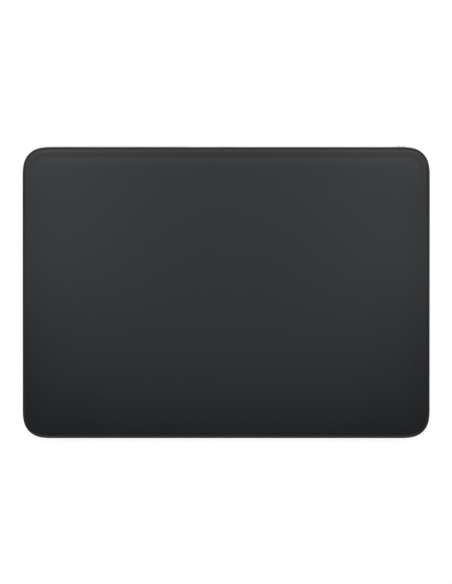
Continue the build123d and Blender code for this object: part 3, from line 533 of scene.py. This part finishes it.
# Making pieces
mergeDistance = 1e-7


def shadeByAngle(mesh, degrees=35):
    limit = math.radians(degrees)
    for face in mesh.faces:
        face.smooth = True
    for edge in mesh.edges:
        edge.smooth = len(edge.link_faces) == 2 and edge.calc_face_angle(0) < limit


def finishPiece(mesh, name, body, slot, replaced=(), finish=None):
    # makes the bmesh an object at the origin, which rides on a body and may stand for CAD nodes
    bmesh.ops.remove_doubles(mesh, verts=mesh.verts, dist=mergeDistance)
    bmesh.ops.recalc_face_normals(mesh, faces=mesh.faces)
    shadeByAngle(mesh)
    data = bpy.data.meshes.new(name)
    mesh.to_mesh(data)
    mesh.free()
    data.materials.append(materials[finish or slot])
    piece = bpy.data.objects.new(name, data)
    scene.collection.objects.link(piece)
    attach(piece, body)
    if replaced:
        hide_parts(*replaced)


def vertsOf(geometry):
    return [item for item in geometry if isinstance(item, bmesh.types.BMVert)]


def edgesOf(geometry):
    return [item for item in geometry if isinstance(item, bmesh.types.BMEdge)]


def soften(mesh, geometry, offset, segments, affect="EDGES"):
    bmesh.ops.bevel(
        mesh, geom=geometry, offset=offset, offset_type="OFFSET", segments=segments,
        profile=0.5, affect=affect, material=-1,
    )


def addBox(mesh, low, high):
    made = bmesh.ops.create_cube(mesh, size=1)["verts"]
    bmesh.ops.scale(mesh, verts=made, vec=high - low)
    bmesh.ops.translate(mesh, verts=made, vec=(low + high) / 2)
    return made


def extrudeRun(mesh, edges, shift):
    # pulls a profile straight along and returns its far end
    made = bmesh.ops.extrude_edge_only(mesh, edges=edges)["geom"]
    bmesh.ops.translate(mesh, verts=vertsOf(made), vec=shift)
    return edgesOf(made)


def spinRun(mesh, edges, centre, angle, steps):
    # turns a profile about an upright axis and returns its far end
    ends = list({vert for edge in edges for vert in edge.verts})
    made = bmesh.ops.spin(
        mesh, geom=ends + list(edges), cent=centre, axis=(0, 0, 1), dvec=(0, 0, 0),
        angle=angle, steps=steps, use_merge=False, use_normal_flip=False, use_duplicate=False,
    )["geom_last"]
    return edgesOf(made)


def sweepOutline(mesh, edges, steps):
    # carries a profile, which stands at the middle of the front edge, round one quarter of the
    # outline, and mirrors it
    turn = math.radians(padShape["shoulderTurn"])
    shoulder = padShape["shoulderRadius"]
    corner = padShape["cornerRadius"]
    rise, run = math.sin(turn), math.cos(turn)
    setback = shoulder * (1 + rise - run) + corner * (run - rise)
    halfWidth = padShape["width"] / 2
    halfLength = padShape["length"] / 2
    edges = extrudeRun(mesh, edges, (halfWidth - setback, 0, 0))
    place = Vector((halfWidth - setback, -halfLength, 0))
    inward = Vector((0, 1, 0))
    for radius, angle, count in (
        (shoulder, turn, steps["shoulder"]),
        (corner, math.pi / 2 - 2 * turn, steps["corner"]),
        (shoulder, turn, steps["shoulder"]),
    ):
        centre = place + inward * radius
        edges = spinRun(mesh, edges, centre, angle, count)
        inward = Matrix.Rotation(angle, 3, "Z") @ inward
        place = centre - inward * radius
    extrudeRun(mesh, edges, (0, halfLength - setback, 0))
    for axis in ("X", "Y"):
        bmesh.ops.mirror(
            mesh, geom=mesh.verts[:] + mesh.edges[:] + mesh.faces[:],
            matrix=Matrix.Identity(4), merge_dist=mergeDistance, axis=axis,
        )
    bmesh.ops.remove_doubles(mesh, verts=mesh.verts, dist=mergeDistance)


glassShape = {
    "thickness": 0.0011,
    "roundWidth": 0.0018,      # the rounded rim, seen from above
    "roundDepth": 0.0005,
    "roundSegments": 12,
    "lowerBreak": 0.00012,
    "support": 0.0003,         # flat strip that keeps the top's shading level
    "steps": {"shoulder": 10, "corner": 40},
}


def makeGlass(shape):
    mesh = bmesh.new()
    squeeze = shape["roundDepth"] / shape["roundWidth"]
    front = -padShape["length"] / 2
    inner = (shape["roundWidth"] + shape["support"]) * squeeze
    points = [
        (0, front + inner, 0), (0, front, 0),
        (0, front, -shape["thickness"]), (0, front + inner, -shape["thickness"]),
    ]
    verts = [mesh.verts.new(point) for point in points]
    for pair in zip(verts, verts[1:]):
        mesh.edges.new(pair)
    soften(mesh, [verts[1]], shape["roundDepth"], shape["roundSegments"], "VERTICES")
    soften(mesh, [verts[2]], shape["lowerBreak"], 1, "VERTICES")
    bmesh.ops.scale(
        mesh, verts=mesh.verts, vec=(1, 1 / squeeze, 1), space=Matrix.Translation((0, -front, 0)),
    )
    sweepOutline(mesh, mesh.edges[:], shape["steps"])
    bmesh.ops.holes_fill(mesh, edges=mesh.edges, sides=0)
    bmesh.ops.transform(mesh, matrix=deckPlace, verts=mesh.verts)
    finishPiece(mesh, "glass_panel", "body", "glass_top", ["touch_glass"])


makeGlass(glassShape)
print("glass made")


# Blocks with softened edges, the start of most small pieces
def addBlock(mesh, low, high, softness, segments=2):
    made = addBox(mesh, Vector(low), Vector(high))
    edges = list({edge for vert in made for edge in vert.link_edges})
    soften(mesh, edges, softness, segments)


# Battery: a pillow-shaped pouch, its folded seams, and the terrace under amber tape
pouchShape = {
    "seamThickness": 0.00028,
    "seamLow": 0.0006,         # foot of the folded seam above the tape, and its top below the pouch's
    "seamHigh": 0.0010,
    "cornerRound": 0.0022,
    "cornerSegments": 6,
    "edgeRound": 0.0008,
    "edgeSegments": 4,
    "finer": 3,                # small edges are this many times finer
    "terrace": 0.0042,         # length of the low end that carries the tabs
    "terraceDrop": 0.0021,
    "slope": 0.0008,
}
tapeShape = {
    "lap": 0.0026,             # tape up over the pouch
    "margin": 0.0055,          # from each side of the pouch
    "lift": 0.00002,
    "thickness": 0.00006,
}


def heightOf(edge):
    return abs(edge.verts[0].co.z - edge.verts[1].co.z)


def makePouch(shape):
    low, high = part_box("battery_cell")
    mesh = bmesh.new()
    bodyLow = Vector((low.x, low.y + shape["seamThickness"], low.z))
    bodyHigh = Vector((high.x - shape["terrace"], high.y - shape["seamThickness"], high.z))
    addBox(mesh, bodyLow, bodyHigh)
    upright = [edge for edge in mesh.edges if heightOf(edge) > shape["edgeRound"]]
    soften(mesh, upright, shape["cornerRound"], shape["cornerSegments"])
    rims = [edge for edge in mesh.edges if heightOf(edge) < shape["edgeRound"]]
    soften(mesh, rims, shape["edgeRound"], shape["edgeSegments"])
    inset = shape["cornerRound"]
    addBlock(
        mesh, (bodyHigh.x - inset, low.y + inset, low.z),
        (high.x, high.y - inset, high.z - shape["terraceDrop"]), shape["edgeRound"] / shape["finer"],
    )
    for front in (low.y, high.y - 2 * shape["seamThickness"]):
        addBlock(
            mesh, (low.x + inset, front, low.z + shape["seamLow"]),
            (bodyHigh.x - inset, front + 2 * shape["seamThickness"], high.z - shape["seamHigh"]),
            shape["seamThickness"] / shape["finer"],
        )
    finishPiece(mesh, "battery_pouch", "body", "battery_pouch", ["battery_cell"])


def makePouchTape(shape, pouch):
    low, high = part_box("battery_cell")
    mesh = bmesh.new()
    top = high.z + shape["lift"]
    step = high.z - pouch["terraceDrop"] + shape["lift"]
    shoulder = high.x - pouch["terrace"]
    points = [
        (shoulder - shape["lap"], top), (shoulder - pouch["edgeRound"], top),
        (shoulder + shape["lift"], top - pouch["edgeRound"]),
        (shoulder + pouch["slope"], step), (high.x, step),
    ]
    verts = [mesh.verts.new((x, low.y + shape["margin"], z)) for x, z in points]
    for pair in zip(verts, verts[1:]):
        mesh.edges.new(pair)
    soften(mesh, verts[1:-1], pouch["edgeRound"] / pouch["finer"], pouch["edgeSegments"], "VERTICES")
    extrudeRun(mesh, mesh.edges[:], (0, high.y - low.y - 2 * shape["margin"], 0))
    bmesh.ops.recalc_face_normals(mesh, faces=mesh.faces)
    if mesh.faces[0].normal.z < 0:
        bmesh.ops.reverse_faces(mesh, faces=mesh.faces)
    bmesh.ops.solidify(mesh, geom=mesh.faces[:], thickness=-shape["thickness"])
    finishPiece(mesh, "battery_tab_tape", "body", "flexible_circuit", finish="flexible_circuit")


makePouch(pouchShape)
makePouchTape(tapeShape, pouchShape)
print("battery made")


# Small surface-mounted pieces, in rows: first place, step and how many.
# Main board rows are measured from its front left corner, touch board rows in the deck's plane
passiveShape = {
    "length": 0.0010, "width": 0.0005, "height": 0.0005, "softness": 0.00004,
    "cap": 0.00024,            # tinned end
    "capOver": 0.00002,
}
mainRows = [
    ((0.0024, 0.0115), (0, 0.0013), 9), ((0.0042, 0.0115), (0, 0.0013), 9),
    ((0.0243, 0.0078), (0, 0.0013), 11), ((0.0262, 0.0078), (0, 0.0013), 11),
    ((0.0020, 0.0018), (0.0019, 0), 9), ((0.0092, 0.0226), (0.0019, 0), 7),
    ((0.0092, 0.0250), (0.0019, 0), 7),
]
guardRows = [((0.0015, 0.0016), (0, 0.0012), 7), ((0.0015, 0.0172), (0, 0.0012), 6)]
touchRows = [
    ((-0.0580, -0.0106), (0.0019, 0), 11), ((-0.0580, -0.0020), (0.0019, 0), 11),
    ((0.0514, -0.0090), (0.0019, 0), 4), ((-0.0340, -0.0262), (0, 0.0014), 9),
]
chipShape = {"height": 0.0007, "softness": 0.00006}
mainChips = [((0.0058, 0.0048), 0.0026), ((0.0112, 0.0048), 0.0030), ((0.0232, 0.0254), 0.0022)]
guardChips = [((0.0015, 0.0108), 0.0020), ((0.0015, 0.0146), 0.0020)]


def makePassives(name, rows, corner, body, shape, place=Matrix.Identity(4), upward=1):
    ceramic = bmesh.new()
    tinned = bmesh.new()
    base = corner[2]
    for start, step, count in rows:
        for index in range(count):
            x = corner[0] + start[0] + step[0] * index
            y = corner[1] + start[1] + step[1] * index
            half = shape["length"] / 2
            wide = shape["width"] / 2
            levels = sorted((base, base + upward * shape["height"]))
            addBlock(
                ceramic, (x - half, y - wide, levels[0]), (x + half, y + wide, levels[1]),
                shape["softness"], 1,
            )
            over = shape["capOver"]
            levels = sorted((base, base + upward * (shape["height"] + over)))
            for left in (x - half - over, x + half + over - shape["cap"]):
                addBlock(
                    tinned, (left, y - wide - over, levels[0]),
                    (left + shape["cap"], y + wide + over, levels[1]), shape["softness"], 1,
                )
    for mesh in (ceramic, tinned):
        bmesh.ops.transform(mesh, matrix=place, verts=mesh.verts)
    finishPiece(ceramic, name + "_passives", body, "chip", finish="ceramic")
    finishPiece(tinned, name + "_passive_ends", body, "shield_steel", finish="tinned_copper")


def makeChips(name, places, corner, body, shape):
    mesh = bmesh.new()
    for middle, size in places:
        x, y = corner[0] + middle[0], corner[1] + middle[1]
        addBlock(
            mesh, (x - size / 2, y - size / 2, corner[2]),
            (x + size / 2, y + size / 2, corner[2] + shape["height"]), shape["softness"], 1,
        )
    finishPiece(mesh, name + "_small_chips", body, "chip")


boardLow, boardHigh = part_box("main_board")
boardCorner = (boardLow.x, boardLow.y, boardHigh.z)
guardLow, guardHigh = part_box("battery_protection_board")
guardCorner = (guardLow.x, guardLow.y, guardHigh.z)
touchDepth = 0.0018            # from the top of the glass to the back of the touch board, as in the CAD
makePassives("main_board", mainRows, boardCorner, "body", passiveShape)
makeChips("main_board", mainChips, boardCorner, "body", chipShape)
makePassives("protection_board", guardRows, guardCorner, "body", passiveShape)
makeChips("protection_board", guardChips, guardCorner, "body", chipShape)
makePassives("touch_board", touchRows, (0, 0, -touchDepth), "body", passiveShape, deckPlace, -1)
print("board pieces made")


# Vent holes in the two shield lids, drawn as dark discs of painted shade that sit on the lids, not cut
# as holes
ventShape = {
    "radius": 0.00032,
    "spacing": 0.0016,
    "margin": 0.0016,
    "show": 0.000008,          # how far a dot stands clear of its lid
    "depth": 0.0001,
    "segments": 14,
}
touchShield = {"middle": (-0.048, -0.020), "size": (0.022, 0.014), "height": 0.001}   # as in the CAD


def makeVentShadeDiscs(name, low, high, lid, shape, place=Matrix.Identity(4), upward=1):
    mesh = bmesh.new()
    columns = int((high[0] - low[0] - 2 * shape["margin"]) / shape["spacing"]) + 1
    rows = int((high[1] - low[1] - 2 * shape["margin"]) / shape["spacing"]) + 1
    middle = ((low[0] + high[0]) / 2, (low[1] + high[1]) / 2)
    for column in range(columns):
        for row in range(rows):
            centre = Vector((
                middle[0] + (column - (columns - 1) / 2) * shape["spacing"],
                middle[1] + (row - (rows - 1) / 2) * shape["spacing"],
                lid + upward * (shape["show"] - shape["depth"] / 2),
            ))
            bmesh.ops.create_cone(
                mesh, cap_ends=True, segments=shape["segments"], radius1=shape["radius"],
                radius2=shape["radius"], depth=shape["depth"], matrix=Matrix.Translation(centre),
            )
    bmesh.ops.transform(mesh, matrix=place, verts=mesh.verts)
    # the discs carry painted shade in place of real holes
    finishPiece(mesh, name, "body", "chip", finish="painted_hole_shade")


lidLow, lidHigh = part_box("main_board_shield")
makeVentShadeDiscs("main_shield_vent_shade", lidLow, lidHigh, lidHigh.z, ventShape)
touchLow = [middle - size / 2 for middle, size in zip(touchShield["middle"], touchShield["size"])]
touchHigh = [middle + size / 2 for middle, size in zip(touchShield["middle"], touchShield["size"])]
touchLid = -touchDepth - touchShield["height"]
makeVentShadeDiscs("touch_shield_vent_shade", touchLow, touchHigh, touchLid, ventShape, deckPlace, -1)
print("vents made")


# Floor, backdrop and light
stageLook = {
    "floorRadius": 3.0,
    "floorDrop": 0.00002,      # keeps it clear of the soles of the feet
    "floorSegments": 96,
    "floorColour": (0.80, 0.80, 0.80),
    "floorGrain": 0.002,
    "floorRoughness": (0.75, 0.85),
    "whiteShare": 0.77,        # how much of the floor's white is its own and not lit
    "litShare": 0.38,          # what lamps and shadows add to it
    "horizon": 0.75,           # the room's brightness low down, and overhead
    "zenith": 0.05,
    "worldHeights": (0.05, 0.95),
}


def addFloor(look):
    mesh = bmesh.new()
    bmesh.ops.create_circle(
        mesh, cap_ends=True, segments=look["floorSegments"], radius=look["floorRadius"],
    )
    bmesh.ops.translate(mesh, verts=mesh.verts, vec=(0, 0, -look["floorDrop"]))
    data = bpy.data.meshes.new("floor")
    mesh.to_mesh(data)
    mesh.free()
    floor = bpy.data.objects.new("floor", data)
    scene.collection.objects.link(floor)
    material, tree, coordinates, shader = newMaterial("floor_paper")
    shader.inputs["Base Color"].default_value = (*look["floorColour"], 1)
    roughened(tree, shader, noise(tree, coordinates, look["floorGrain"], 2), look["floorRoughness"])
    glow = tree.nodes.new("ShaderNodeEmission")
    glow.inputs["Strength"].default_value = look["whiteShare"]
    both = tree.nodes.new("ShaderNodeAddShader")
    dimmed = tree.nodes.new("ShaderNodeMixShader")
    dimmed.inputs["Fac"].default_value = look["litShare"]
    black = tree.nodes.new("ShaderNodeBsdfDiffuse")
    black.inputs["Color"].default_value = (0, 0, 0, 1)
    tree.links.new(black.outputs["BSDF"], dimmed.inputs[1])
    tree.links.new(shader.outputs["BSDF"], dimmed.inputs[2])
    tree.links.new(dimmed.outputs["Shader"], both.inputs[0])
    tree.links.new(glow.outputs["Emission"], both.inputs[1])
    choose = tree.nodes.new("ShaderNodeMixShader")
    tree.links.new(backgroundRay(tree), choose.inputs["Fac"])
    tree.links.new(shader.outputs["BSDF"], choose.inputs[1])
    tree.links.new(both.outputs["Shader"], choose.inputs[2])
    # from below the paper is clear, so that the underside can be looked at
    side = tree.nodes.new("ShaderNodeNewGeometry")
    clear = tree.nodes.new("ShaderNodeBsdfTransparent")
    oneWay = tree.nodes.new("ShaderNodeMixShader")
    tree.links.new(side.outputs["Backfacing"], oneWay.inputs["Fac"])
    tree.links.new(choose.outputs["Shader"], oneWay.inputs[1])
    tree.links.new(clear.outputs["BSDF"], oneWay.inputs[2])
    tree.links.new(oneWay.outputs["Shader"], tree.nodes["Material Output"].inputs["Surface"])
    data.materials.append(material)


def backgroundRay(tree):
    # 1 for what the camera sees, straight or in a reflection or through glass
    path = tree.nodes.new("ShaderNodeLightPath")
    total = path.outputs["Is Camera Ray"]
    for kind in ("Is Glossy Ray", "Is Transmission Ray"):
        total = numberStep(tree, "MAXIMUM", total, path.outputs[kind])
    return total


def addWorld(look):
    # a room that is palest at the level of the desk and dark overhead, and plain white to the camera
    world = bpy.data.worlds.new("studio")
    scene.world = world
    world.use_nodes = True
    tree = world.node_tree
    direction = tree.nodes.new("ShaderNodeTexCoord").outputs["Generated"]
    parts = tree.nodes.new("ShaderNodeSeparateXYZ")
    tree.links.new(direction, parts.inputs["Vector"])
    room = tree.nodes["Background"]
    room.inputs["Color"].default_value = (1, 1, 1, 1)
    low, high = look["worldHeights"]
    strength = between(tree, parts.outputs["Z"], look["horizon"], look["zenith"], low, high)
    tree.links.new(strength, room.inputs["Strength"])
    white = tree.nodes.new("ShaderNodeBackground")
    white.inputs["Color"].default_value = (1, 1, 1, 1)
    path = tree.nodes.new("ShaderNodeLightPath")
    choose = tree.nodes.new("ShaderNodeMixShader")
    tree.links.new(path.outputs["Is Camera Ray"], choose.inputs["Fac"])
    tree.links.new(room.outputs["Background"], choose.inputs[1])
    tree.links.new(white.outputs["Background"], choose.inputs[2])
    tree.links.new(choose.outputs["Shader"], tree.nodes["World Output"].inputs["Surface"])


# Four big soft lamps stand round the desk, low enough to stay out of the glass seen from above.
# Small ones close over the pad give the glass its fall from the rear to the front
lamps = {
    "left": {"place": (-1.35, 0.1, 1.1), "size": (1.2, 0.9), "power": 8.5},
    "right": {"place": (1.35, 0.1, 1.1), "size": (1.2, 0.9), "power": 8.5},
    "rear": {"place": (0, 1.6, 0.9), "size": (1.8, 0.9), "power": 7.0},
    "front": {"place": (0, -1.5, 1.15), "size": (1.8, 0.6), "power": 6.5},
    "rim": {"place": (0, 0.098, 0.20), "size": (0.34, 0.035), "power": 0.095},
    "stripRear": {"place": (0, 0.056, 0.12), "size": (0.20, 0.03), "power": 0.0182},
    "stripMiddle": {"place": (0, -0.011, 0.13), "size": (0.175, 0.088), "power": 0.0268},
    "stripFront": {"place": (0, -0.042, 0.08), "size": (0.15, 0.022), "power": 0.0007},
    "sideLeft": {"place": (-0.100, 0, 0.12), "size": (0.03, 0.12), "power": 0.0064},
    "sideRight": {"place": (0.100, 0, 0.12), "size": (0.03, 0.12), "power": 0.0064},
    "cornerLeft": {"place": (-0.088, 0.024, 0.20), "size": (0.05, 0.13), "power": 0.0087},
    "cornerRight": {"place": (0.088, 0.024, 0.20), "size": (0.05, 0.13), "power": 0.0087},
    "rearLeft": {"place": (-0.070, 0.060, 0.14), "size": (0.05, 0.03), "power": 0.0054},
    "rearRight": {"place": (0.070, 0.060, 0.14), "size": (0.05, 0.03), "power": 0.0054},
}


def addLamp(name, look):
    data = bpy.data.lights.new(name, "AREA")
    data.shape = "RECTANGLE"
    data.size, data.size_y = look["size"]
    data.energy = look["power"]
    lamp = bpy.data.objects.new(name, data)
    scene.collection.objects.link(lamp)
    lamp.location = look["place"]
    towards = deckMiddle - lamp.location
    lamp.rotation_euler = towards.to_track_quat("-Z", "Y").to_euler()
    lamp.visible_camera = False


addFloor(stageLook)
addWorld(stageLook)
for name, look in lamps.items():
    addLamp(name, look)
scene.view_settings.view_transform = "Standard"
print("stage lit")
